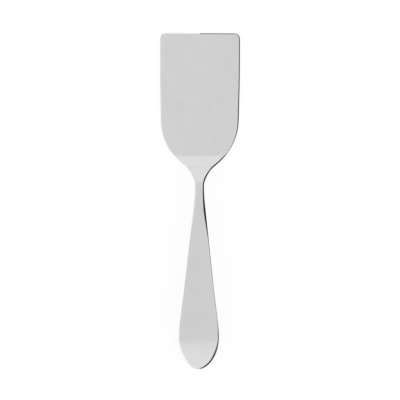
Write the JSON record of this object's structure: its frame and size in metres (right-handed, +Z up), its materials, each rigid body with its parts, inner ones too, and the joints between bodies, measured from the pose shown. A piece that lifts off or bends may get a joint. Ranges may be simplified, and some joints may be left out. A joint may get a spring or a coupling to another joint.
{
  "type": "lasagna server",
  "caption": "Stainless lasagna server: broad flat blade with round shoulders, raised narrow neck and flared, arched handle with a rounded butt.",
  "frame": {"origin": "on the surface that the server lies on, under the middle of its length and width", "axes": "+Y from the handle's butt to the blade's front edge, +X to the right seen from above with the blade pointing up, +Z up from the table"},
  "size_m": [0.0606, 0.2542, 0.02],
  "materials": {
    "blade_steel": "satin polished, fine lines along the blade, light scratches from use",
    "weld_steel": "ground flush and polished with the sheet and the handle",
    "handle_steel": "polished, smooth, edges rounded at the neck and the butt"
  },
  "bodies": {
    "root": {"blade": "blade_steel", "weld_bead": "weld_steel", "handle": "handle_steel"}
  },
  "joints": []
}
